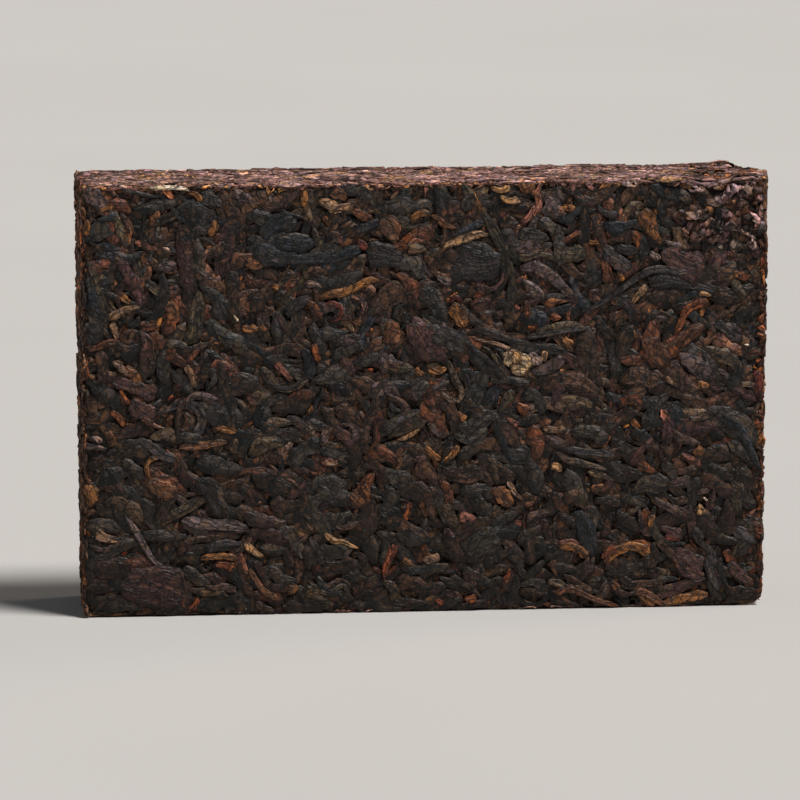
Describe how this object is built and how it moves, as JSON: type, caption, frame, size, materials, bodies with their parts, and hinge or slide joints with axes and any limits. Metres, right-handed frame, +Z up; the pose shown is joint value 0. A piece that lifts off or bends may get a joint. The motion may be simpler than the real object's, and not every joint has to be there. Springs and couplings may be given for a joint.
{
  "type": "pu erh tea brick",
  "caption": "Flat rectangular brick of pressed dark pu erh tea leaves, standing on a long narrow side, with leafy relief, layered edges and a crumbly upper corner.",
  "frame": {"origin": "on the surface that the brick stands on, under the middle of its bounding box", "axes": "+X along the long side, to the right seen from the shown large face; +Y through the thickness, away from the shown face; +Z up"},
  "size_m": [0.14, 0.025, 0.089],
  "materials": {
    "tea_leaves": "dry pressed leaf with a soft sheen"
  },
  "bodies": {
    "root": {"tea_brick": "tea_leaves"}
  },
  "joints": []
}
